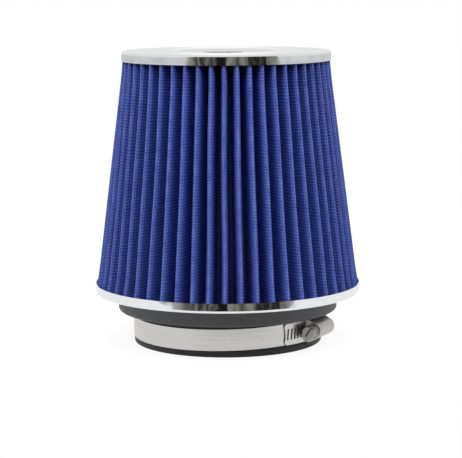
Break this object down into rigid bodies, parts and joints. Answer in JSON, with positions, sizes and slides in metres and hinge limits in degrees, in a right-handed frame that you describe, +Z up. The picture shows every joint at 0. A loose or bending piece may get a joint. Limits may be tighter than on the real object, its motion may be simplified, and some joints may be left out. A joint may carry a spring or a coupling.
{
  "type": "cone air filter",
  "caption": "Tapered round air filter with a pleated blue wall, chrome cap and trim ring, and a rubber inlet neck held by a worm-drive hose clamp.",
  "frame": {"origin": "centre of the inlet mouth, at the end of the neck", "axes": "+Z up the filter's axis from the inlet to the cap, +X through the middle of the clamp's screw housing"},
  "size_m": [0.1524, 0.1524, 0.1668],
  "materials": {
    "chrome_plate": "bright chrome plate on pressed steel",
    "coated_screen_and_gauze": "blue coated wire screen over dyed cotton gauze",
    "seal_urethane": "cast urethane",
    "moulded_rubber": "matt moulded polyurethane rubber",
    "band_steel": "rolled stainless steel strip",
    "screw_steel": "zinc-plated steel"
  },
  "bodies": {
    "filter": {"top_cap": "chrome_plate", "top_seal": "seal_urethane", "filter_media": "coated_screen_and_gauze", "base_ring": "chrome_plate", "base_flange": "moulded_rubber", "clamp_band": "band_steel", "clamp_housing": "band_steel"},
    "screw": {"clamp_screw": "screw_steel"}
  },
  "joints": [
    {"name": "clamp_screw_turn", "type": "hinge", "parent": "filter", "child": "screw", "pos_m": [0.05966, -0.00001, 0.01153], "axis": [-0.0001, 0.9997, 0.0256], "continuous": true}
  ]
}
